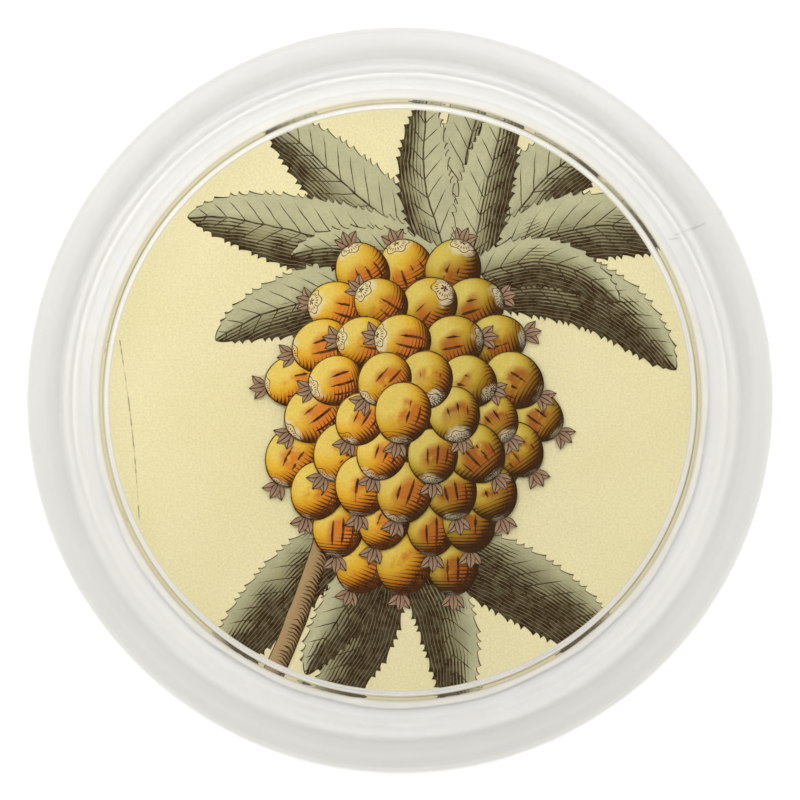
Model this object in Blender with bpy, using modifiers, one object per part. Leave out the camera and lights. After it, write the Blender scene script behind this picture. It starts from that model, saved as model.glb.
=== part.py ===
"""A round pressed-glass drinks coaster with a printed paper picture glued under its floor.

Two pieces: the glass, which is one turned solid with a shallow well, and the paper disc
that lies under the floor of the well and shows through it.
Metres, +Z up, origin on the axis at the underside of the paper, where the coaster stands.
"""

import math

import bpy

# Driving sizes of the whole coaster
OUTER_RADIUS = 0.0570
HEIGHT = 0.0118
FLOOR_THICKNESS = 0.0066

# Paper picture and the film of glue above it
PAPER_RADIUS = 0.0451
PAPER_THICKNESS = 0.0004
GLUE_GAP = 0.0003

# Turned section of the glass, from the middle outwards
WELL_RADIUS = 0.0442
BEAD_RADIUS = 0.0452
BEAD_RISE = 0.00095
GROOVE_RADIUS = 0.0460
GROOVE_RISE = 0.00050
CREASE_RADIUS = 0.0497
CREASE_DROP = 0.0012
CREST_RADIUS = 0.0519
BELT_DROP = 0.0038
HEEL_RADIUS = 0.0556
HEEL_RISE = 0.0012
FOOT_RADIUS = 0.0530

# How steeply the section runs there, in degrees: 0 is outwards, 90 up, -90 down
BEAD_TILT = 4
GROOVE_TILT = 8
WALL_STEEPNESS = 60
RIM_STEEPNESS = 30
HEEL_SLOPE = -115

# Share of a bend's length over which it keeps the direction of its ends
EASE = 0.42

# Heights that follow from the sizes above
GLASS_BASE = PAPER_THICKNESS + GLUE_GAP
FLOOR_TOP = GLASS_BASE + FLOOR_THICKNESS
BELT_HEIGHT = HEIGHT - BELT_DROP
CREASE_HEIGHT = HEIGHT - CREASE_DROP

# Fineness of the solids
TURN_STEPS = 96
BEND_STEPS = 6
AXIS_MERGE = 0.00001
SHARP_ANGLE = math.radians(35)

# Looks
GLASS_TINT = (0.93, 0.96, 0.95, 1.0)
PAPER_CREAM = (0.80, 0.72, 0.44, 1.0)


def clear_scene():
    """Empties the scene that the script is run in."""
    for old in list(bpy.data.objects):
        bpy.data.objects.remove(old)


def new_collection(name):
    made = bpy.data.collections.new(name)
    bpy.context.scene.collection.children.link(made)
    return made


def material(name, colour, roughness, transmission=0.0):
    """A Principled material for one sub-part."""
    made = bpy.data.materials.new(name)
    made.use_nodes = True
    made.diffuse_color = colour
    shader = made.node_tree.nodes["Principled BSDF"]
    shader.inputs["Base Color"].default_value = colour
    shader.inputs["Roughness"].default_value = roughness
    shader.inputs["Metallic"].default_value = 0.0
    shader.inputs["Transmission Weight"].default_value = transmission
    return made


def bend(start, leaving, end, arriving):
    """Points of a smooth bend of the section, without its start.

    leaving and arriving are its directions at the two ends, in degrees.
    """
    reach = EASE * math.dist(start, end)
    out, back = math.radians(leaving), math.radians(arriving)
    corners = (
        start,
        (start[0] + reach * math.cos(out), start[1] + reach * math.sin(out)),
        (end[0] - reach * math.cos(back), end[1] - reach * math.sin(back)),
        end,
    )
    points = []
    for step in range(1, BEND_STEPS + 1):
        t = step / BEND_STEPS
        weights = ((1 - t) ** 3, 3 * (1 - t) ** 2 * t, 3 * (1 - t) * t**2, t**3)
        points.append(tuple(sum(w * c[axis] for w, c in zip(weights, corners)) for axis in (0, 1)))
    return points


def glass_section():
    """(radius, height) points out along the well's floor, over the rim and back under the foot."""
    well_edge = (WELL_RADIUS, FLOOR_TOP)
    bead = (BEAD_RADIUS, FLOOR_TOP + BEAD_RISE)
    groove = (GROOVE_RADIUS, FLOOR_TOP + GROOVE_RISE)
    crease = (CREASE_RADIUS, CREASE_HEIGHT)
    crest = (CREST_RADIUS, HEIGHT)
    belt = (OUTER_RADIUS, BELT_HEIGHT)
    heel = (HEEL_RADIUS, GLASS_BASE + HEEL_RISE)
    foot = (FOOT_RADIUS, GLASS_BASE)

    section = [(0.0, FLOOR_TOP), well_edge]
    # Low bead that rings the floor of the well, and the groove outside it
    section += bend(well_edge, 0, bead, BEAD_TILT)
    section += bend(bead, BEAD_TILT, groove, GROOVE_TILT)
    # Inner wall, hollowed a little, up to a crease
    section += bend(groove, GROOVE_TILT, crease, WALL_STEEPNESS)
    # Rounded rim, highest nearer the well, and its fall to the widest belt
    section += bend(crease, RIM_STEEPNESS, crest, 0)
    section += bend(crest, 0, belt, -90)
    # Outer side, drawn in towards the heel, and the flat foot
    section += bend(belt, -90, heel, HEEL_SLOPE)
    section += bend(heel, HEEL_SLOPE, foot, -180)
    section.append((0.0, GLASS_BASE))
    return section


def turned(name, section, collection):
    """Turns a section about Z into a closed solid."""
    mesh = bpy.data.meshes.new(name)
    points = [(radius, 0.0, height) for radius, height in section]
    edges = [(index, index + 1) for index in range(len(points) - 1)]
    mesh.from_pydata(points, edges, [])
    made = bpy.data.objects.new(name, mesh)
    collection.objects.link(made)
    screw = made.modifiers.new("turn", "SCREW")
    screw.axis = "Z"
    screw.angle = math.tau
    screw.steps = TURN_STEPS
    screw.render_steps = TURN_STEPS
    screw.use_merge_vertices = True
    screw.merge_threshold = AXIS_MERGE
    screw.use_smooth_shade = True
    return made


def glass_dish(collection):
    """The clear pressed glass: thick floor, bead, hollow inner wall and a rounded rim."""
    made = turned("glass_dish", glass_section(), collection)
    made.data.materials.append(material("clear_glass", GLASS_TINT, 0.03, transmission=1.0))


def paper_print(collection):
    """The picture: a disc of stiff printed paper, glued face up under the floor of the well."""
    bpy.ops.mesh.primitive_cylinder_add(
        vertices=TURN_STEPS,
        radius=PAPER_RADIUS,
        depth=PAPER_THICKNESS,
        location=(0.0, 0.0, PAPER_THICKNESS / 2),
    )
    made = bpy.context.active_object
    made.name = "paper_print"
    made.data.shade_smooth()
    made.data.set_sharp_from_angle(angle=SHARP_ANGLE)
    made.data.materials.append(material("printed_paper", PAPER_CREAM, 0.6))
    for home in list(made.users_collection):
        home.objects.unlink(made)
    collection.objects.link(made)


def build_coaster():
    clear_scene()
    coaster = new_collection("glass_coaster")
    glass_dish(coaster)
    paper_print(coaster)


build_coaster()
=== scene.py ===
import functools
import itertools
import math
import random

import bpy
import numpy as np
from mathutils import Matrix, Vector


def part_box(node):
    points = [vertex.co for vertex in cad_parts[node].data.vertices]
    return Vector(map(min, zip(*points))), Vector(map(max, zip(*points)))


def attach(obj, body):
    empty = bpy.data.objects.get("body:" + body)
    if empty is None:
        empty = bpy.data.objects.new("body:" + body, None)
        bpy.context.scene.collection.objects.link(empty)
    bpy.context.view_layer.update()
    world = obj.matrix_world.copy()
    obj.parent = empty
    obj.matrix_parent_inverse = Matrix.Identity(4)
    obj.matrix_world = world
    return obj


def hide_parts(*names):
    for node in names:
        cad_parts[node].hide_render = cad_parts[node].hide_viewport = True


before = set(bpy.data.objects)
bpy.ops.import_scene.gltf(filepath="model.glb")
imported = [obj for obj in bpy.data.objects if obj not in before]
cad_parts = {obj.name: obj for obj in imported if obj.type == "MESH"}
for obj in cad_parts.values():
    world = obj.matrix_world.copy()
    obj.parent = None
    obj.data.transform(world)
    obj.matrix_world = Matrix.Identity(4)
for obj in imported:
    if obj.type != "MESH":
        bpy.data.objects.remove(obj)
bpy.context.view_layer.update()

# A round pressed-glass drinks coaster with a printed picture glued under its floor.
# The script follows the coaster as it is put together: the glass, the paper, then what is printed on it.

# Lengths are in metres, and on the print in mm
MM = 0.001


# The glass dish
# Clear soda-lime glass, pressed in a turned mould. It has a thick flat floor with a low bead round it,
# a hollow inner wall up to a crease, and a rounded rim that is highest near the well.

GLASS_LOW, GLASS_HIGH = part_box("glass_dish")
OUTER_RADIUS = GLASS_HIGH.x
RIM_TOP = GLASS_HIGH.z
GLASS_BASE = GLASS_LOW.z
WELL_RADIUS = 44.2 * MM
BEAD_RADIUS = 45.2 * MM
GROOVE_RADIUS = 46.0 * MM
CREASE_RADIUS = 49.7 * MM
CREST_RADIUS = 51.9 * MM
HEEL_RADIUS = 55.6 * MM
FOOT_RADIUS = 53.0 * MM
FLOOR_TOP = GLASS_BASE + 6.6 * MM
BEAD_TOP = FLOOR_TOP + 0.95 * MM
GROOVE_TOP = FLOOR_TOP + 0.50 * MM
CREASE_TOP = RIM_TOP - 1.2 * MM
BELT_TOP = RIM_TOP - 3.8 * MM
HEEL_TOP = GLASS_BASE + 1.2 * MM
# How steeply the section runs there, in degrees: 0 is outwards, 90 up, -90 down
BEAD_TILT = 4
GROOVE_TILT = 8
WALL_STEEPNESS = 54
RIM_STEEPNESS = 30
HEEL_SLOPE = -115
# Share of a bend's length over which it keeps the direction of its ends
BEND_EASE = 0.42
BEND_STEPS = 14
FLAT_STEPS = 12
TURN_STEPS = 256
MOULD_WAVE = 0.10 * MM
MOULD_WAVE_LENGTH = 26 * MM
CREASE_ANGLE = math.radians(9)
POLISHED = 0.01
MOULDED = 0.09
RIM_FADE = 0.3 * MM
SCRATCH_TURN = math.radians(35)
KNOCK_MIDDLE = (44.0 * MM, 25.9 * MM, 0)
KNOCK_TURN = math.radians(21)
KNOCK_HALF = 2.3 * MM
# Radii of the painted shade along the groove by the bead
GROOVE_SHADE_RADIUS = 45.3 * MM
GROOVE_SHADE_SPREAD_RADIUS = 45.6 * MM


def bend(start, leaving, end, arriving):
    """Points of a smooth bend of the section, without its start. The directions are in degrees."""
    reach = BEND_EASE * math.dist(start, end)
    out, back = math.radians(leaving), math.radians(arriving)
    corners = (
        start,
        (start[0] + reach * math.cos(out), start[1] + reach * math.sin(out)),
        (end[0] - reach * math.cos(back), end[1] - reach * math.sin(back)),
        end,
    )
    points = []
    for step in range(1, BEND_STEPS + 1):
        t = step / BEND_STEPS
        weights = ((1 - t) ** 3, 3 * (1 - t) ** 2 * t, 3 * (1 - t) * t**2, t**3)
        points.append(tuple(sum(w * c[axis] for w, c in zip(weights, corners)) for axis in (0, 1)))
    return points


def flat(start, end, height):
    """Points of a flat stretch of the section, without its start."""
    return [(start + (end - start) * step / FLAT_STEPS, height) for step in range(1, FLAT_STEPS + 1)]


def glass_section():
    """(radius, height) points out along the well's floor, over the rim and back under the foot."""
    bead = (BEAD_RADIUS, BEAD_TOP)
    groove = (GROOVE_RADIUS, GROOVE_TOP)
    crease = (CREASE_RADIUS, CREASE_TOP)
    crest = (CREST_RADIUS, RIM_TOP)
    belt = (OUTER_RADIUS, BELT_TOP)
    heel = (HEEL_RADIUS, HEEL_TOP)
    section = [(0.0, FLOOR_TOP)] + flat(0.0, WELL_RADIUS, FLOOR_TOP)
    section += bend(section[-1], 0, bead, BEAD_TILT)
    section += bend(bead, BEAD_TILT, groove, GROOVE_TILT)
    section += bend(groove, GROOVE_TILT, crease, WALL_STEEPNESS)
    section += bend(crease, RIM_STEEPNESS, crest, 0)
    section += bend(crest, 0, belt, -90)
    section += bend(belt, -90, heel, HEEL_SLOPE)
    section += bend(heel, HEEL_SLOPE, (FOOT_RADIUS, GLASS_BASE), -180)
    return section + flat(FOOT_RADIUS, 0.0, GLASS_BASE)


def start_edit(piece):
    """Opens a piece in edit mode with everything in it selected."""
    bpy.ops.object.select_all(action="DESELECT")
    piece.select_set(True)
    bpy.context.view_layer.objects.active = piece
    bpy.ops.object.mode_set(mode="EDIT")
    bpy.ops.mesh.select_all(action="SELECT")


def turn(name, section):
    """Draws one point out along the section, spins the line about Z and closes it."""
    bpy.ops.object.select_all(action="DESELECT")
    bpy.ops.mesh.primitive_plane_add(size=MM)
    piece = bpy.context.active_object
    piece.name = name
    start_edit(piece)
    bpy.ops.mesh.merge(type="CENTER")
    bpy.ops.transform.translate(value=(section[0][0], 0, section[0][1]))
    for here, there in zip(section, section[1:]):
        step = (there[0] - here[0], 0, there[1] - here[1])
        bpy.ops.mesh.extrude_region_move(TRANSFORM_OT_translate={"value": step})
    bpy.ops.mesh.select_all(action="SELECT")
    bpy.ops.mesh.spin(steps=TURN_STEPS, angle=math.tau, center=(0, 0, 0), axis=(0, 0, 1))
    bpy.ops.mesh.select_all(action="SELECT")
    bpy.ops.mesh.remove_doubles(threshold=0.001 * MM)
    bpy.ops.mesh.normals_make_consistent(inside=False)
    bpy.ops.object.mode_set(mode="OBJECT")
    return piece


def mould_waves(piece):
    """Lets the pressed surface dip a little in places. The underside stays flat for the paper."""
    moulded = piece.vertex_groups.new(name="moulded")
    for vertex in piece.data.vertices:
        if vertex.co.z > HEEL_TOP:
            moulded.add([vertex.index], 1.0, "REPLACE")
    waves = bpy.data.textures.new("mould_waves", "CLOUDS")
    waves.noise_scale = MOULD_WAVE_LENGTH
    dip = piece.modifiers.new("mould_waves", "DISPLACE")
    dip.texture = waves
    dip.texture_coords = "LOCAL"
    dip.vertex_group = "moulded"
    dip.strength = MOULD_WAVE
    dip.mid_level = 1.0
    bpy.ops.object.modifier_apply(modifier="mould_waves")


def srgb(code, alpha=1.0):
    """A colour written as #RRGGBB, in linear light."""
    parts = [int(code[at:at + 2], 16) / 255 for at in (1, 3, 5)]
    return tuple(c / 12.92 if c <= 0.04045 else ((c + 0.055) / 1.055) ** 2.4 for c in parts) + (alpha,)


def new_material(name):
    """A named material with its node tree and its Principled shader."""
    made = bpy.data.materials.new(name)
    made.use_nodes = True
    return made, made.node_tree, made.node_tree.nodes["Principled BSDF"]


def feed(tree, socket, value):
    """Sets a socket to a value, or links a node or an output to it."""
    if isinstance(value, bpy.types.Node):
        value = next(output for output in value.outputs if output.enabled)
    if isinstance(value, bpy.types.NodeSocket):
        tree.links.new(value, socket)
    elif value is not None:
        socket.default_value = value


def node(tree, kind, *values, **settings):
    """Adds a node with its settings. The values fill its sockets in order."""
    made = tree.nodes.new("ShaderNode" + kind)
    for name, value in settings.items():
        setattr(made, name, value)
    for socket, value in zip([s for s in made.inputs if s.enabled], values):
        feed(tree, socket, value)
    return made


def pressed_soda_lime_glass():
    """Clear and all but colourless, a shade greyer in the thick rim. The floor is ground and polished, so
    the print shows sharp through it. The rim keeps the skin of the mould: a little hazy, faintly rippled,
    with fine scratches from handling and the line of one knock. A dark brown line and a fainter band are
    painted along the groove by the bead as painted shade."""
    made, tree, shader = new_material("pressed_soda_lime_glass")
    shader.inputs["IOR"].default_value = 1.5
    shader.inputs["Transmission Weight"].default_value = 1.0
    add = functools.partial(node, tree)
    place = add("TexCoord").outputs["Object"]
    level = add("VectorMath", place, (1, 1, 0), operation="MULTIPLY")
    radius = add("VectorMath", level, operation="LENGTH").outputs["Value"]
    moulded = add("MapRange", radius, WELL_RADIUS, CREASE_RADIUS)
    feed(tree, shader.inputs["Roughness"], add("MapRange", moulded, 0.0, 1.0, POLISHED, MOULDED))

    in_rim = add("MapRange", radius, CREASE_RADIUS - RIM_FADE, CREASE_RADIUS + RIM_FADE)
    height = add("SeparateXYZ", place).outputs["Z"]
    on_top = add("Math", height, RIM_TOP / 2, operation="GREATER_THAN")
    greyer = add("Math", in_rim, on_top, operation="MULTIPLY")
    clear = add("Mix", greyer, srgb("#FDFCFA"), srgb("#ECEBE8"), data_type="RGBA")

    knock = add("Mapping", place, KNOCK_MIDDLE, (0, 0, KNOCK_TURN), vector_type="TEXTURE")
    lengthways, aside, _ = add("SeparateXYZ", knock).outputs
    within = add("Math", lengthways, 0.0, KNOCK_HALF, operation="COMPARE")
    off_line = add("Math", aside, operation="ABSOLUTE")
    hairline = add("MapRange", off_line, 0.02 * MM, 0.16 * MM, 0.5, 0.0)
    patchy = add("MapRange", add("TexNoise", place, 1 / (1.5 * MM)), 0.4, 0.6)
    struck = add("Math", within, hairline, operation="MULTIPLY")
    bruise = add("Math", struck, patchy, operation="MULTIPLY")
    bruised = add("Mix", bruise, clear, srgb("#8C8A86"), data_type="RGBA")

    # Painted shade: a dark brown line along the groove by the bead, patchy along its length, with a fainter
    # band round it
    off_line = add("Math", add("Math", radius, GROOVE_SHADE_RADIUS, operation="SUBTRACT"), operation="ABSOLUTE")
    line = add("MapRange", off_line, 0.04 * MM, 0.18 * MM, 1.0, 0.0)
    groove_shade_patchiness = add("MapRange", add("TexNoise", place, 1 / (40 * MM)), 0.4, 0.6, 0.50, 0.90)
    groove_shade_line = add("Math", line, groove_shade_patchiness, operation="MULTIPLY")
    off_groove_shade_spread = add("Math", add("Math", radius, GROOVE_SHADE_SPREAD_RADIUS, operation="SUBTRACT"), operation="ABSOLUTE")
    film = add("MapRange", off_groove_shade_spread, 0.22 * MM, 0.42 * MM, 0.38, 0.0)
    groove_shade = add("Math", groove_shade_line, film, operation="MAXIMUM")
    groove_shaded = add("Mix", groove_shade, bruised, srgb("#5E4F34"), data_type="RGBA")
    feed(tree, shader.inputs["Base Color"], groove_shaded)

    ripple = add("TexNoise", place, 1 / (6 * MM), 2.0, 0.4)
    drawn_out = add("Mapping", place, None, (0, 0, SCRATCH_TURN), (1, 0.03, 1))
    scratch = add("TexNoise", drawn_out, 1 / (0.5 * MM), 1.0, 0.5)
    scratched = add("MapRange", scratch, 0.70, 0.74)
    skin = add("Bump", moulded, 0.006 * MM, None, ripple)
    worn = add("Bump", moulded, 0.004 * MM, None, scratched, skin, invert=True)
    feed(tree, shader.inputs["Normal"], worn)
    return made


dish = turn("glass_dish_pressed", glass_section())
mould_waves(dish)
bpy.ops.object.shade_smooth_by_angle(angle=CREASE_ANGLE)
dish.data.materials.append(pressed_soda_lime_glass())
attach(dish, "root")
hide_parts("glass_dish")


# The paper
# A disc of straw-coloured rag paper, glued face up under the floor with no air left between,
# so its top reaches a hair into the glass. A faint broken line is left of the edge of the copper plate.

PAPER_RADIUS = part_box("paper_print")[1].x
PAPER_TOP = GLASS_BASE + 0.02 * MM
PAPER_SIDES = 192
PAPER_EDGE = 0.05 * MM
EDGE_DARKENING_WIDTH = 0.16
PLATE_TOP = (-43.1, 9.2)
PLATE_BOTTOM = (-40.1, -18.7)
PLATE_BOW = 0.5
INK = "#3B2816"
INK_BLEED = 0.07


def pen_line(tree, distance, half_width):
    """The ink of a pen line, from the distance to its middle in mm. It bleeds a little into the paper."""
    edge = node(tree, "Math", half_width, INK_BLEED, operation="ADD")
    return node(tree, "MapRange", distance, half_width, edge, 1.0, 0.0, interpolation_type="SMOOTHSTEP")


def printed(tree, shader, wash, *lines):
    """Lays pen lines over a wash. The plate is worn, so the ink is thin in places, and the paper has a grain.
    Paper in glue has no air film over it, so only its colour shows and nothing glints."""
    place = node(tree, "TexCoord").outputs["Object"]
    worn = node(tree, "TexNoise", place, 1 / (1.1 * MM), 3.0, 0.6)
    density = node(tree, "MapRange", worn, 0.3, 0.6, 0.72, 1.0)
    most = functools.reduce(lambda a, b: node(tree, "Math", a, b, operation="MAXIMUM"), lines)
    cover = node(tree, "Math", most, density, operation="MULTIPLY")
    grain = node(tree, "TexNoise", place, 1 / (0.35 * MM), 3.0, 0.6)
    dusty = node(tree, "MapRange", grain, 0.35, 0.65, 0.92, 1.04)
    grained = node(tree, "VectorMath", wash, dusty, operation="SCALE")
    drawn = node(tree, "Mix", cover, grained, srgb(INK), data_type="RGBA")
    feed(tree, shader.inputs["Base Color"], drawn)
    shader.inputs["Roughness"].default_value = 0.75
    shader.inputs["Specular IOR Level"].default_value = 0.0


def printed_rag_paper():
    """The bare ground of the print: straw-yellow rag paper, cloudy and foxed, darker brown towards its cut
    edge.
    """
    made, tree, shader = new_material("printed_rag_paper")
    add = functools.partial(node, tree)
    place = add("TexCoord").outputs["Object"]
    in_mm = add("VectorMath", place, 1 / MM, operation="SCALE")
    x, y, _ = add("SeparateXYZ", in_mm).outputs
    clouds = add("MapRange", add("TexNoise", place, 1 / (17 * MM), 3.0, 0.5), 0.3, 0.7)
    ground = add("Mix", clouds, srgb("#F3EAB6"), srgb("#F7EEC1"), data_type="RGBA")
    spots = add("TexVoronoi", place, 1 / (13 * MM))
    fox = add("MapRange", spots, 0.012, 0.035, 0.55, 0.0)
    foxed = add("Mix", fox, ground, srgb("#C9A868"), data_type="RGBA")
    radius = add("VectorMath", add("CombineXYZ", x, y, 0.0), operation="LENGTH").outputs["Value"]
    edge = PAPER_RADIUS / MM
    # Darker brown over the last 0.16 mm to the cut edge of the paper
    edge_darkening = add("MapRange", radius, edge - EDGE_DARKENING_WIDTH, edge - 0.06, 0.0, 0.4)
    wash = add("Mix", edge_darkening, foxed, srgb("#5E4C2E"), data_type="RGBA")
    down = add("MapRange", y, PLATE_TOP[1], PLATE_BOTTOM[1], 0.0, 1.0, clamp=False)
    bowed = add("Math", add("Math", down, math.pi, operation="MULTIPLY"), operation="SINE")
    straight = add("MapRange", down, 0.0, 1.0, PLATE_TOP[0], PLATE_BOTTOM[0], clamp=False)
    line_x = add("Math", bowed, PLATE_BOW, straight, operation="MULTIPLY_ADD")
    aside = add("Math", add("Math", x, line_x, operation="SUBTRACT"), operation="ABSOLUTE")
    broken = add("TexNoise", place, 1 / (2.2 * MM), 2.0, 0.6)
    within = add("Math", down, 0.5, 0.5, operation="COMPARE")
    strength = add("Math", add("MapRange", broken, 0.38, 0.62), within, operation="MULTIPLY")
    faint = add("Math", strength, 0.75, operation="MULTIPLY")
    plate = add("Math", pen_line(tree, aside, 0.05), faint, operation="MULTIPLY")
    printed(tree, shader, wash, plate)
    return made


def varnished_paper_back():
    """The back of the paper, brown from age and sealed with a thin coat of shellac varnish."""
    made, tree, shader = new_material("varnished_paper_back")
    place = node(tree, "TexCoord").outputs["Object"]
    clouds = node(tree, "MapRange", node(tree, "TexNoise", place, 1 / (9 * MM), 4.0, 0.6), 0.3, 0.7)
    colour = node(tree, "Mix", clouds, srgb("#C9B88A"), srgb("#D8CAA0"), data_type="RGBA")
    feed(tree, shader.inputs["Base Color"], colour)
    shader.inputs["Roughness"].default_value = 0.35
    shader.inputs["Coat Weight"].default_value = 0.4
    brushed = node(tree, "Mapping", place, None, None, (1, 0.12, 1))
    strokes = node(tree, "TexNoise", brushed, 1 / (0.8 * MM), 2.0, 0.5)
    feed(tree, shader.inputs["Normal"], node(tree, "Bump", 0.4, 0.02 * MM, None, strokes))
    return made


bpy.ops.object.select_all(action="DESELECT")
bpy.ops.mesh.primitive_circle_add(vertices=PAPER_SIDES, radius=PAPER_RADIUS, fill_type="NGON")
paper = bpy.context.active_object
paper.name = "paper_disc"
paper.data.materials.append(varnished_paper_back())
paper.data.materials.append(printed_rag_paper())
start_edit(paper)
bpy.ops.mesh.extrude_region_move(TRANSFORM_OT_translate={"value": (0, 0, PAPER_TOP)})
paper.active_material_index = 1
bpy.ops.object.material_slot_assign()
bpy.ops.mesh.select_all(action="SELECT")
bpy.ops.mesh.normals_make_consistent(inside=False)
bpy.ops.object.mode_set(mode="OBJECT")
worn_edge = paper.modifiers.new("worn_edge", "BEVEL")
worn_edge.width = PAPER_EDGE
worn_edge.segments = 2
bpy.ops.object.modifier_apply(modifier="worn_edge")
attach(paper, "root")
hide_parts("paper_print")


# The glue
# White glue, brushed on under the glass and dried. What squeezed out round the paper is left as a
# thin collar. Its top lies a hair under the top of the paper.

COLLAR_RADIUS = 48.0 * MM
COLLAR_THICKNESS = 0.12 * MM
COLLAR_DROP = 0.005 * MM
COLLAR_SIDES = 240
COLLAR_WANDER = 0.3 * MM
STAIN_FULL = 1.1 * MM
STAIN_REACH = 1.9 * MM


def dried_white_glue():
    """Off-white and dull. It wets the glass, so nothing glints on it. The paper's edge has stained it."""
    made, tree, shader = new_material("dried_white_glue")
    place = node(tree, "TexCoord").outputs["Object"]
    clouds = node(tree, "MapRange", node(tree, "TexNoise", place, 1 / (5 * MM), 2.0, 0.5), 0.3, 0.7)
    clean = node(tree, "Mix", clouds, srgb("#F3F1EA"), srgb("#F9F8F4"), data_type="RGBA")
    level = node(tree, "VectorMath", place, (1, 1, 0), operation="MULTIPLY")
    radius = node(tree, "VectorMath", level, operation="LENGTH").outputs["Value"]
    stain = node(tree, "MapRange", radius, PAPER_RADIUS + STAIN_FULL, PAPER_RADIUS + STAIN_REACH, 0.95, 0.0)
    stained = node(tree, "Mix", stain, clean, srgb("#E2DCC8"), data_type="RGBA")
    feed(tree, shader.inputs["Base Color"], stained)
    shader.inputs["Roughness"].default_value = 0.6
    shader.inputs["Specular IOR Level"].default_value = 0.0
    return made


bpy.ops.object.select_all(action="DESELECT")
bpy.ops.mesh.primitive_circle_add(vertices=COLLAR_SIDES, radius=PAPER_RADIUS - PAPER_EDGE)
collar = bpy.context.active_object
collar.name = "glue_collar"
collar.data.materials.append(dried_white_glue())
start_edit(collar)
bpy.ops.transform.translate(value=(0, 0, PAPER_TOP - COLLAR_DROP - COLLAR_THICKNESS))
bpy.ops.mesh.extrude_region_move()
wider = COLLAR_RADIUS / (PAPER_RADIUS - PAPER_EDGE)
bpy.ops.transform.resize(value=(wider, wider, 1))
bpy.ops.mesh.select_all(action="SELECT")
bpy.ops.mesh.extrude_region_move(TRANSFORM_OT_translate={"value": (0, 0, COLLAR_THICKNESS)})
bpy.ops.mesh.select_all(action="SELECT")
bpy.ops.mesh.normals_make_consistent(inside=False)
bpy.ops.object.mode_set(mode="OBJECT")
for vertex in collar.data.vertices:
    if vertex.co.xy.length > PAPER_RADIUS:
        turn_at = math.atan2(vertex.co.y, vertex.co.x)
        wander = COLLAR_WANDER * (math.sin(7 * turn_at) + math.sin(19 * turn_at + 1)) / 2
        vertex.co.xy *= 1 + wander / COLLAR_RADIUS
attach(collar, "root")


# The print
# A fruiting bough of a common kind, engraved in brown ink and tinted by hand with thin watercolour.
# Each shape lies flat on a layer of its own, a few microns over the one behind it, and ends at the
# edge of the paper.

LAYER = 0.006 * MM
SWAY = 7
COURSE_STEPS = 240
BLADE_LANES = 8
BLADE_STEP = 0.16
TRIM_SIDES = 120

layers = itertools.count(1)


def note(piece, name, values):
    """Keeps three numbers with each point of a piece, which its material reads."""
    kept = piece.data.attributes.new(name, "FLOAT_VECTOR", "POINT")
    kept.data.foreach_set("vector", np.stack(values, axis=1).astype(np.float32).ravel())


def blade(base, heading, length, curl, half_width, tint, lanes=BLADE_LANES):
    """Bends a grid into a blade along a curved course, in mm and degrees. Its points note where they lie."""
    bpy.ops.object.select_all(action="DESELECT")
    steps_along = max(8, round(length / BLADE_STEP))
    bpy.ops.mesh.primitive_grid_add(x_subdivisions=steps_along, y_subdivisions=lanes, size=1)
    piece = bpy.context.active_object
    spots = np.empty(3 * len(piece.data.vertices))
    piece.data.vertices.foreach_get("co", spots)
    part, side = spots[0::3] + 0.5, 2 * spots[1::3]
    steps = np.linspace(0, 1, COURSE_STEPS + 1)
    turning = np.radians(heading + curl * steps + SWAY * np.sin(math.tau * steps))
    stride = length / COURSE_STEPS
    east = base[0] + stride * (np.cumsum(np.cos(turning)) - np.cos(turning[0]))
    north = base[1] + stride * (np.cumsum(np.sin(turning)) - np.sin(turning[0]))
    way = np.interp(part, steps, turning)
    rim, body = half_width(part, length)
    reach = np.where(np.abs(side) > 0.99, rim, body)
    spots[0::3] = MM * (np.interp(part, steps, east) - np.sin(way) * side * reach)
    spots[1::3] = MM * (np.interp(part, steps, north) + np.cos(way) * side * reach)
    spots[2::3] = PAPER_TOP + next(layers) * LAYER
    piece.data.vertices.foreach_set("co", spots)
    piece.data.update()
    note(piece, "blade", (part * length, side * reach, reach))
    note(piece, "tint", [np.full_like(part, value) for value in tint])
    return piece


def finish_print(name, pieces, material):
    """Joins like shapes, snips off what runs past the paper's edge, and gives them their ink and tint."""
    bpy.ops.object.select_all(action="DESELECT")
    for piece in pieces:
        piece.select_set(True)
    whole = pieces[0]
    bpy.context.view_layer.objects.active = whole
    bpy.ops.object.join()
    whole.name = name
    spots = np.array([vertex.co for vertex in whole.data.vertices])
    start_edit(whole)
    for side in range(TRIM_SIDES):
        angle = math.tau * side / TRIM_SIDES
        outward = (math.cos(angle), math.sin(angle), 0)
        if (spots @ outward).max() > PAPER_RADIUS:
            bpy.ops.mesh.select_all(action="SELECT")
            snip = [PAPER_RADIUS * part for part in outward]
            bpy.ops.mesh.bisect(plane_co=snip, plane_no=outward, clear_outer=True)
    bpy.ops.object.mode_set(mode="OBJECT")
    whole.data.materials.append(material)
    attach(whole, "root")
    return whole


def noted(tree, name):
    """The three numbers that each point of a printed shape keeps."""
    kept = node(tree, "Attribute", attribute_type="GEOMETRY", attribute_name=name)
    return node(tree, "SeparateXYZ", kept.outputs["Vector"]).outputs


def hatching(tree, across, pitch, weight):
    """Pen lines a pitch apart in mm. They swell with the weight and fade out where it falls to nought."""
    distance = node(tree, "Math", across, pitch / 2, operation="PINGPONG")
    half_width = node(tree, "MapRange", weight, 0.0, 1.0, -0.09, 0.4 * pitch)
    return pen_line(tree, distance, half_width)


def shaky_hand(tree, length, reach):
    """How far a hand-drawn line strays, in mm, over waves of the given length in mm."""
    place = node(tree, "TexCoord").outputs["Object"]
    drift = node(tree, "TexNoise", place, 1 / (length * MM), 2.0, 0.5)
    return node(tree, "MapRange", drift, 0.25, 0.75, -reach, reach)


# The leaves
# Long, tough leaves with uneven, forward-pointing teeth. Their lit half has a thin grey-green wash,
# and the half turned away is darker and hatched along its length.

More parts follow.
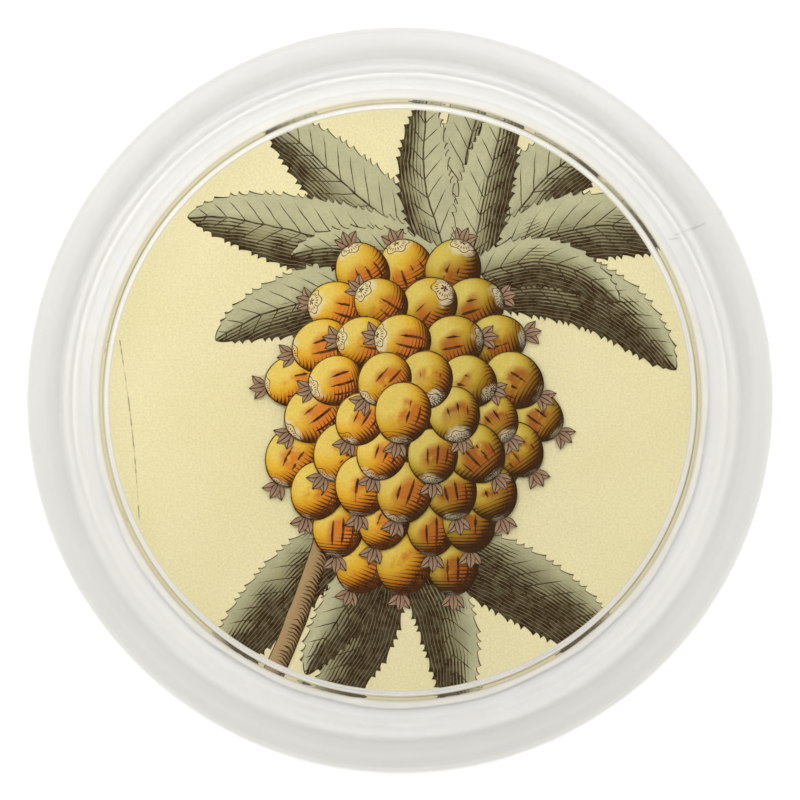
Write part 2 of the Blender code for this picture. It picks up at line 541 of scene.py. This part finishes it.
LEAF_SHAPE = 0.14
LEAF_WIDEST = 0.439
TOOTH_PITCH = 1.6
TOOTH_REACH = 0.75
TOOTH_DRIFT = 0.35
TOOTH_WANDER = 1.3
TOOTH_HOOK = 2.2
LEAF_HATCH = 0.52
VEIN_PITCH = 2.9
VEIN_SWEEP = 1.15
# Base x and y, heading, length, curl and tone of each leaf, from the hindmost to the foremost
LEAVES = (
    ((6, 20), 128, 37, 22, 0.1),
    ((10, 21), 88, 33, -14, 0.3),
    ((12, 20), 54, 38, -24, 0.2),
    ((7, 19), 150, 41, 34, 0.2),
    ((11, 19), 30, 37, -42, 0.5),
    ((-7, -20), 206, 33, 44, 0.9),
    ((4, -20), 322, 38, 14, 1.0),
    ((-2, -21), 258, 31, -20, 1.1),
    ((1, -20), 292, 31, -12, 0.8),
    ((7, 18), 170, 37, 48, 0.3),
    ((12, 17), 6, 35, -56, 0.7),
    ((-1, -19), 232, 27, 16, 0.5),
    ((8, 20), 108, 28, -20, 0.0),
    ((10, 20), 66, 28, 22, 0.2),
    ((9, 18), 140, 27, 62, 0.4),
    ((10, 18), 26, 26, -66, 0.6),
)


def leaf_half_width(part, length):
    """Half the width of a leaf in mm along its length, at its toothed rim and inside it."""
    swelling = (part + 0.06) ** 0.6 * np.clip(1.0005 - part, 0, 1) ** 0.7
    body = LEAF_SHAPE * length * swelling / LEAF_WIDEST
    along = part * length
    uneven = along + TOOTH_DRIFT * np.sin(TOOTH_WANDER * along)
    tooth = np.mod(uneven, TOOTH_PITCH) / TOOTH_PITCH
    growing = np.clip(part / 0.1, 0, 1) * np.clip((1 - part) / 0.08, 0, 1)
    return body + TOOTH_REACH * tooth**TOOTH_HOOK * growing, body


def engraved_leaf():
    """Thin green wash on rag paper under brown engraver's lines, about two to the millimetre."""
    made, tree, shader = new_material("engraved_leaf_in_green_wash")
    add = functools.partial(node, tree)
    along, across, half = noted(tree, "blade")
    tone, dark_side, _ = noted(tree, "tint")
    place = add("TexCoord").outputs["Object"]
    stray = shaky_hand(tree, 5, 0.25)
    turned = add("Math", across, dark_side, operation="MULTIPLY")
    share = add("Math", turned, half, operation="DIVIDE")
    depth = add("Math", across, operation="ABSOLUTE")
    from_rim = add("Math", half, depth, operation="SUBTRACT")
    outline = pen_line(tree, from_rim, add("MapRange", share, -1.0, 1.0, 0.10, 0.24))
    middle = add("Math", add("Math", across, stray, operation="ADD"), operation="ABSOLUTE")
    midrib = pen_line(tree, middle, 0.10)
    swept = add("Math", along, add("Math", depth, -VEIN_SWEEP, operation="MULTIPLY"), operation="ADD")
    strayed = add("Math", swept, stray, operation="ADD")
    vein_weight = add("MapRange", add("Math", share, operation="ABSOLUTE"), 0.55, 0.95, 0.42, 0.0)
    veins = hatching(tree, strayed, VEIN_PITCH, add("Math", vein_weight, 0.33, operation="MULTIPLY"))
    patch = add("TexNoise", place, 1 / (6 * MM), 2.0, 0.5)
    leaning = add("Math", share, add("MapRange", patch, 0.3, 0.7, -0.45, 0.45), operation="ADD")
    weight = add("MapRange", add("Math", leaning, tone, operation="ADD"), -0.05, 1.0, 0.0, 0.95)
    lines = hatching(tree, add("Math", across, stray, operation="ADD"), LEAF_HATCH, weight)
    cloud = add("TexNoise", place, 1 / (4 * MM), 3.0, 0.55)
    cloudy = add("MapRange", cloud, 0.35, 0.65)
    pale = add("Mix", cloudy, srgb("#BDBB98"), srgb("#CAC79F"), data_type="RGBA")
    deep = add("Mix", cloudy, srgb("#7E795B"), srgb("#958E69"), data_type="RGBA")
    shade = add("MapRange", add("Math", share, tone, operation="ADD"), -0.1, 0.6, 0.0, 0.9)
    wash = add("Mix", shade, pale, deep, data_type="RGBA")
    printed(tree, shader, wash, outline, midrib, veins, lines)
    return made


draw = random.Random(7)
leaf_ink = engraved_leaf()


def leaf(base, heading, length, curl, tone):
    """One leaf, with its tone, its dark side and a draw of its own. The half that faces down is dark."""
    dark_side = -1 if math.cos(math.radians(heading + curl / 2)) > 0 else 1
    return blade(base, heading, length, curl, leaf_half_width, (tone, dark_side, draw.random()))


leaves = [leaf(*spread) for spread in LEAVES]
finish_print("printed_leaves", leaves, leaf_ink)


# The bough
# A woody bough that comes in from the edge and runs up behind the bunch to where the leaves spread.
# Short green stalks leave it for the topmost fruits.

BOUGH_LENGTH = 76
BOUGH_BASE_HALF = 1.7
BOUGH_TIP_HALF = 1.1
BARK_HATCH = 0.62
# Base x and y, heading, length, curl of each stalk
STALKS = (
    ((8, 20), 205, 13, 30),
    ((9, 20), 235, 11, 14),
    ((10, 20), 278, 9, -8),
    ((11, 20), 312, 7, -22),
)


def bough_half_width(part, length):
    """Half the width of the bough, which swells at its buds."""
    body = BOUGH_BASE_HALF + (BOUGH_TIP_HALF - BOUGH_BASE_HALF) * part
    body = body + 0.25 * np.clip(np.cos(math.tau * part * 6), 0.6, 1) - 0.15
    return body, body


def stalk_half_width(part, length):
    """Half the width of a stalk, which is thicker at its foot."""
    body = 0.75 - 0.2 * np.sin(math.pi * part)
    return body, body


def engraved_bark():
    """Brown and green washes with short curved strokes across, closer on the lower side."""
    made, tree, shader = new_material("engraved_bark_in_brown_wash")
    add = functools.partial(node, tree)
    along, across, half = noted(tree, "blade")
    tone, dark_side, _ = noted(tree, "tint")
    stray = shaky_hand(tree, 2, 0.3)
    depth = add("Math", across, operation="ABSOLUTE")
    outline = pen_line(tree, add("Math", half, depth, operation="SUBTRACT"), 0.13)
    share = add("Math", add("Math", across, dark_side, operation="MULTIPLY"), half, operation="DIVIDE")
    rounded = add("Math", add("Math", across, 2.0, operation="POWER"), 0.35, along, operation="MULTIPLY_ADD")
    bent = add("Math", rounded, stray, operation="ADD")
    weight = add("MapRange", add("Math", share, stray, operation="ADD"), -0.5, 1.0)
    strokes = hatching(tree, bent, BARK_HATCH, weight)
    bark = add("Mix", tone, srgb("#C9BE96"), srgb("#B79A6E"), data_type="RGBA")
    wash = add("Mix", add("MapRange", share, -0.6, 1.0, 0.0, 0.6), bark, srgb("#8A6B48"), data_type="RGBA")
    printed(tree, shader, wash, outline, strokes)
    return made


wood = [blade((-21, -45), 62, BOUGH_LENGTH, 8, bough_half_width, (1, -1, 0))]
wood += [blade(*spread, stalk_half_width, (0, -1, 0)) for spread in STALKS]
finish_print("printed_bough", wood, engraved_bark())


# The fruits
# Round, ripe fruits in a dense bunch, golden at the left and olive at the right, each with rust-red
# streaks, a cream cap round its eye and a dark star of dry sepals. The side away from the light is hatched.

FRUIT_RADIUS = 4.1
FRUIT_SIDES = 40
BUNCH_MIDDLE = (1.0, -2.5)
BUNCH_HALF = (20.2, 23.6)
ROW_PITCH = 5.6
FRUIT_PITCH = 6.8
SEPAL_LENGTH = 2.8
SEPAL_ROOT = 0.3
SEPAL_FAN = (-34, 30, 0)
EYE_TURNED = 56
HEART = (2.0, 9.0)
CAP_REACH = 1.9
END_DUSK = 0.18
WASH_STOPS = (0.0, 0.28, 0.62, 1.0)
LIGHT_FROM = (-0.48, 0.52, 0.70)
CHEEK = (0.22, -0.25, 0.94)
RIB_STEP = math.pi / 15
TICK_STEP = math.pi / 18
FRUIT_HATCH = 0.55
CROSS_HATCH = 0.6
EGG_LONGER = 0.13
EGG_FULLER = 0.06
HIDDEN_GLOOM = 0.8
HIDDEN_SHIFT = 0.6
HIDDEN_REACH = 0.85
BUNCH_REACH = 1.04


def engraved_fruit():
    """Golden, olive and rust washes on rag paper, with engraved outlines, streaks and hatching."""
    made, tree, shader = new_material("engraved_fruit_in_gold_wash")
    add = functools.partial(node, tree)
    sunward, turned, capward = noted(tree, "ball")
    east, north, facing = noted(tree, "page")
    olive, rust, gloom = noted(tree, "tint")
    place = add("TexCoord").outputs["Object"]
    stray = shaky_hand(tree, 3, 0.05)
    page = add("CombineXYZ", east, north, facing)
    light = add("VectorMath", page, LIGHT_FROM, operation="DOT_PRODUCT").outputs["Value"]
    lit = add("Math", add("Math", light, stray, operation="ADD"), gloom, operation="SUBTRACT")
    dim = add("MapRange", lit, 0.85, -0.05, 0.0, 1.0)
    cloud = add("MapRange", add("TexNoise", place, 1 / (3 * MM), 3.0, 0.55), 0.3, 0.7)

    golden = add("ValToRGB", dim)
    greenish = add("ValToRGB", dim)
    for ramp, colours in (
        (golden, ("#F3D76C", "#EEC03C", "#D9901C", "#8E4A12")),
        (greenish, ("#DFCC6B", "#C8AC3E", "#947022", "#583811")),
    ):
        stops = ramp.color_ramp.elements
        stops.new(WASH_STOPS[1])
        stops.new(WASH_STOPS[2])
        for stop, code in zip(stops, colours):
            stop.color = srgb(code)
    blotch = add("MapRange", cloud, 0.0, 1.0, -0.2, 0.2)
    wash = add("Mix", add("Math", olive, blotch, operation="ADD"), golden, greenish, data_type="RGBA")

    # Rust-red cheek between the cap and the foot of the fruit, and the cream cap
    lean = add("Math", capward, add("Math", stray, 3.0, operation="MULTIPLY"), operation="ADD")
    below_cap = add("MapRange", lean, 0.80, 0.35)
    above_base = add("MapRange", lean, -0.90, -0.25)
    cheek = add("VectorMath", page, CHEEK, operation="DOT_PRODUCT").outputs["Value"]
    ragged = add("Math", add("Math", stray, 1.5, operation="MULTIPLY"), cheek, operation="ADD")
    girdle = add("Math", below_cap, above_base, operation="MULTIPLY")
    flank = add("Math", girdle, add("MapRange", ragged, 0.68, 0.86), operation="MULTIPLY")
    flushed = add("MapRange", add("Math", cloud, rust, operation="ADD"), 0.60, 0.95)
    flush = add("Math", flank, flushed, operation="MULTIPLY")
    blush = add("Mix", olive, srgb("#DF7F30"), srgb("#A85A24"), data_type="RGBA")
    rusty = add("Mix", add("Math", flush, 0.9, operation="MULTIPLY"), wash, blush, data_type="RGBA")
    capped = add("Math", add("MapRange", lean, 0.82, 0.93), 0.65, operation="MULTIPLY")
    creamy = add("Mix", capped, rusty, srgb("#EBE2C2"), data_type="RGBA")

    # Pen lines: streaks from eye to foot, and the scalloped edge, ticks and star of the cap
    around = add("Math", sunward, turned, operation="ARCTAN2")
    squared = add("Math", capward, 2.0, operation="POWER")
    girth = add("Math", add("Math", 1.0, squared, operation="SUBTRACT"), operation="SQRT")
    ball_girth = add("Math", girth, FRUIT_RADIUS, operation="MULTIPLY")
    rib = add("Math", add("Math", around, RIB_STEP, operation="PINGPONG"), ball_girth, operation="MULTIPLY")
    streaks = pen_line(tree, rib, add("MapRange", flush, 0.35, 1.0, -0.09, 0.17))
    down = add("Math", add("Math", capward, operation="ARCCOSINE"), FRUIT_RADIUS, operation="MULTIPLY")
    scallop = add("Math", add("Math", around, 5.0, operation="MULTIPLY"), operation="SINE")
    cap_edge = add("Math", scallop, 0.20, -CAP_REACH, operation="MULTIPLY_ADD")
    from_cap = add("Math", add("Math", down, cap_edge, operation="ADD"), operation="ABSOLUTE")
    cap_line = pen_line(tree, from_cap, 0.04)
    tick = add("Math", add("Math", around, TICK_STEP, operation="PINGPONG"), ball_girth, operation="MULTIPLY")
    off_ring = add("Math", add("Math", down, -1.3, operation="ADD"), operation="ABSOLUTE")
    ticks = pen_line(tree, tick, add("MapRange", off_ring, 0.1, 0.45, 0.06, -0.09))
    petals = add("Math", add("Math", around, 2.5, operation="MULTIPLY"), operation="COSINE")
    star_size = add("Math", add("Math", petals, operation="ABSOLUTE"), 0.45, 0.25, operation="MULTIPLY_ADD")
    star = pen_line(tree, down, star_size)

    # Hatching in the shade, crossed where it is deepest, and the outline
    shadow = add("MapRange", lit, 0.60, -0.20, 0.0, 0.95)
    beyond_cap = add("MapRange", down, CAP_REACH, CAP_REACH + 0.6)
    lines = hatching(tree, down, FRUIT_HATCH, add("Math", shadow, beyond_cap, operation="MULTIPLY"))
    along_girth = add("Math", around, ball_girth, operation="MULTIPLY")
    deep = hatching(tree, along_girth, CROSS_HATCH, add("MapRange", lit, 0.22, -0.25, 0.0, 0.8))
    facing_squared = add("Math", facing, 2.0, operation="POWER")
    rim_share = add("Math", add("Math", 1.0, facing_squared, operation="SUBTRACT"), operation="SQRT")
    from_rim = add("Math", rim_share, -FRUIT_RADIUS, FRUIT_RADIUS, operation="MULTIPLY_ADD")
    outline = pen_line(tree, from_rim, add("MapRange", light, -0.6, 0.8, 0.26, 0.12))
    printed(tree, shader, creamy, outline, streaks, cap_line, ticks, star, lines, deep)
    return made


bpy.ops.object.select_all(action="DESELECT")
bpy.ops.mesh.primitive_uv_sphere_add(segments=FRUIT_SIDES, ring_count=FRUIT_SIDES // 2, radius=1)
half_ball = bpy.context.active_object
start_edit(half_ball)
bpy.ops.mesh.bisect(plane_co=(0, 0, 0), plane_no=(0, 0, 1), clear_inner=True)
bpy.ops.object.mode_set(mode="OBJECT")


def fruit(place, radius, eye_heading, eye_tilt, tint):
    """A half ball, pressed flat once each point has noted where it lies on the ball and on the fruit."""
    piece = half_ball.copy()
    piece.data = half_ball.data.copy()
    bpy.context.scene.collection.objects.link(piece)
    spots = np.array([vertex.co for vertex in piece.data.vertices])
    east, north, facing = spots.T
    out = math.radians(eye_heading)
    ahead = east * math.cos(out) + north * math.sin(out)
    beside = -east * math.sin(out) + north * math.cos(out)
    tilt = math.radians(eye_tilt)
    capward = ahead * math.sin(tilt) + facing * math.cos(tilt)
    turned = ahead * math.cos(tilt) - facing * math.sin(tilt)
    note(piece, "page", (east, north, facing))
    note(piece, "ball", (beside, turned, np.clip(capward, -1, 1)))
    note(piece, "tint", [np.full_like(east, value) for value in tint])
    longer = 1 + EGG_LONGER * math.sin(tilt) ** 2
    fuller = 1 - EGG_FULLER * ahead * math.sin(tilt)
    x = radius * (ahead * longer * math.cos(out) - beside * fuller * math.sin(out))
    y = radius * (ahead * longer * math.sin(out) + beside * fuller * math.cos(out))
    height = PAPER_TOP + next(layers) * LAYER
    flat_spots = np.stack(((place[0] + x) * MM, (place[1] + y) * MM, np.full_like(x, height)), axis=1)
    piece.data.vertices.foreach_set("co", flat_spots.ravel())
    piece.data.update()
    return piece


def bunch(shift, reach):
    """Places of fruits in leaning rows, hindmost first: the outer ones lie behind the middle ones."""
    places = []
    for row, column in itertools.product(range(-5, 6), repeat=2):
        x = (column + 0.5 * (row % 2)) * FRUIT_PITCH + draw.uniform(-0.7, 0.7)
        y = (row + shift) * ROW_PITCH + draw.uniform(-0.7, 0.7)
        if math.hypot(x / BUNCH_HALF[0], y / BUNCH_HALF[1]) < reach:
            places.append((BUNCH_MIDDLE[0] + x, BUNCH_MIDDLE[1] + y))
    return sorted(places, key=lambda spot: -math.dist(spot, BUNCH_MIDDLE) + draw.uniform(-1, 1))


def sepal_half_width(part, length):
    """Half the width of a small pointed sepal."""
    body = 0.70 * np.sin(math.pi * np.clip(part * 0.92 + 0.08, 0, 1)) + 0.02
    return body, body


def dry_sepal():
    """A sepal of the dried flower: brown wash, dark outline, one stroke down the middle."""
    made, tree, shader = new_material("engraved_dry_sepal")
    add = functools.partial(node, tree)
    along, across, half = noted(tree, "blade")
    depth = add("Math", across, operation="ABSOLUTE")
    outline = pen_line(tree, add("Math", half, depth, operation="SUBTRACT"), 0.09)
    tipward = add("MapRange", along, 0.0, SEPAL_LENGTH)
    wash = add("Mix", tipward, srgb("#8E6E58"), srgb("#B99C80"), data_type="RGBA")
    printed(tree, shader, wash, outline, pen_line(tree, depth, 0.05))
    return made


# A dusky set lies behind the bunch, so that no bare paper shows between the fruits
fruits, sepals = [], []
hidden = [(place, HIDDEN_GLOOM) for place in bunch(HIDDEN_SHIFT, HIDDEN_REACH)]
for place, gloom in hidden + [(place, 0.0) for place in bunch(0.0, BUNCH_REACH)]:
    away = (place[0] - HEART[0], place[1] - HEART[1])
    reach = math.hypot(away[0] / BUNCH_HALF[0], away[1] / BUNCH_HALF[1])
    heading = math.degrees(math.atan2(away[1], away[0])) + draw.uniform(-18, 18)
    tilt = min(94, 52 + 34 * reach + draw.uniform(-12, 12))
    radius = FRUIT_RADIUS * draw.uniform(0.92, 1.06)
    olive = min(1, max(0, 0.5 + (place[0] - 1) / 14 + draw.uniform(-0.25, 0.25)))
    if tilt > EYE_TURNED and not gloom:
        out = math.radians(heading)
        lean = math.sin(math.radians(tilt))
        eye = radius * (1 + EGG_LONGER * lean**2) * lean - SEPAL_ROOT
        base = (place[0] + eye * math.cos(out), place[1] + eye * math.sin(out))
        for fan in SEPAL_FAN:
            curl = 0.6 * fan
            sepals.append(blade(base, heading + fan, SEPAL_LENGTH, curl, sepal_half_width, (0, 1, 0), 4))
    # The top and the foot of the bunch are a little duskier
    dusk = END_DUSK * abs(place[1] - BUNCH_MIDDLE[1]) / BUNCH_HALF[1]
    fruits.append(fruit(place, radius, heading, tilt, (olive, draw.uniform(0.2, 0.9), gloom + dusk)))
bpy.data.objects.remove(half_ball)
finish_print("printed_fruits", fruits, engraved_fruit())
finish_print("printed_sepals", sepals, dry_sepal())


# The studio
# A plain white table in a soft light tent, bright at the top and dim at the bottom of the view,
# and one wide soft box near the top, whose own mirror image is kept out of the glass. The opening overhead,
# where the camera looks in, is dimmer, and the lens itself is dark. The table lies a hair under the coaster
# and glows faintly round it, as for a cut-out picture.

CAMERA_HEIGHT = 0.8
SENSOR = 36
FRAME_PIXELS = 800
COASTER_PIXELS = 748
BRIGHT_SIDE = (-0.12, 0.99, 0.0)
TENT_DIM = 0.0
TENT_BRIGHT = 2.4
OPENING_GLOW = 0.60
OPENING_EDGE = 0.55
LENS_GLOW = 0.12
LENS_EDGE = (0.985, 0.996)
BOX_PLACE = Vector((-0.06, 0.25, 0.28))
BOX_WIDTH = 0.9
BOX_HEIGHT = 0.55
BOX_WATTS = 2.9
TABLE_GLOW = 0.22
GLOW_GAP = 0.4 * MM
GLOW_FADE = 1.0 * MM
TABLE_SIZE = 4
FLOOR_GAP = 0.02 * MM

bpy.ops.object.select_all(action="DESELECT")
bpy.ops.mesh.primitive_plane_add(size=TABLE_SIZE, location=(0, 0, -FLOOR_GAP))
floor = bpy.context.active_object
floor.name = "studio_floor"
made, tree, shader = new_material("matt_white_light_table")
shader.inputs["Base Color"].default_value = srgb("#F7F7F7")
shader.inputs["Roughness"].default_value = 0.9
shader.inputs["Emission Color"].default_value = (1, 1, 1, 1)
place = node(tree, "TexCoord").outputs["Object"]
away = node(tree, "VectorMath", place, operation="LENGTH").outputs["Value"]
glow_starts = OUTER_RADIUS + GLOW_GAP
lit_from_below = node(tree, "MapRange", away, glow_starts, glow_starts + GLOW_FADE, 0.0, TABLE_GLOW)
feed(tree, shader.inputs["Emission Strength"], lit_from_below)
floor.data.materials.append(made)

light = bpy.data.lights.new("soft_box", "AREA")
light.shape = "RECTANGLE"
light.size = BOX_WIDTH
light.size_y = BOX_HEIGHT
light.energy = BOX_WATTS
soft_box = bpy.data.objects.new("soft_box", light)
bpy.context.scene.collection.objects.link(soft_box)
soft_box.location = BOX_PLACE
soft_box.visible_glossy = False
soft_box.rotation_euler = (-BOX_PLACE).to_track_quat("-Z", "Y").to_euler()

world = bpy.data.worlds.new("light_tent")
world.use_nodes = True
tree = world.node_tree
direction = node(tree, "TexCoord").outputs["Generated"]
along = node(tree, "VectorMath", direction, BRIGHT_SIDE, operation="DOT_PRODUCT").outputs["Value"]
tent = node(tree, "MapRange", along, -1.0, 1.0, TENT_DIM, TENT_BRIGHT)
height = node(tree, "SeparateXYZ", direction).outputs["Z"]
dimming = node(tree, "MapRange", height, OPENING_EDGE, 1.0, interpolation_type="SMOOTHSTEP")
opening = node(tree, "MapRange", dimming, 0.0, 1.0, 1.0, OPENING_GLOW)
lens_hole = node(tree, "MapRange", height, *LENS_EDGE, 1.0, LENS_GLOW)
overhead = node(tree, "Math", opening, lens_hole, operation="MULTIPLY")
glow = node(tree, "Math", tent, overhead, operation="MULTIPLY")
feed(tree, tree.nodes["Background"].inputs["Strength"], glow)
tree.nodes["Background"].inputs["Color"].default_value = (1, 1, 1, 1)
bpy.context.scene.world = world
bpy.context.scene.view_settings.view_transform = "Standard"

lens = bpy.data.cameras.new("camera")
lens.sensor_width = SENSOR
lens.lens = SENSOR * (CAMERA_HEIGHT - BELT_TOP) / (2 * OUTER_RADIUS * FRAME_PIXELS / COASTER_PIXELS)
camera = bpy.data.objects.new("camera", lens)
bpy.context.scene.collection.objects.link(camera)
camera.location = (0, 0, CAMERA_HEIGHT)
bpy.context.scene.camera = camera
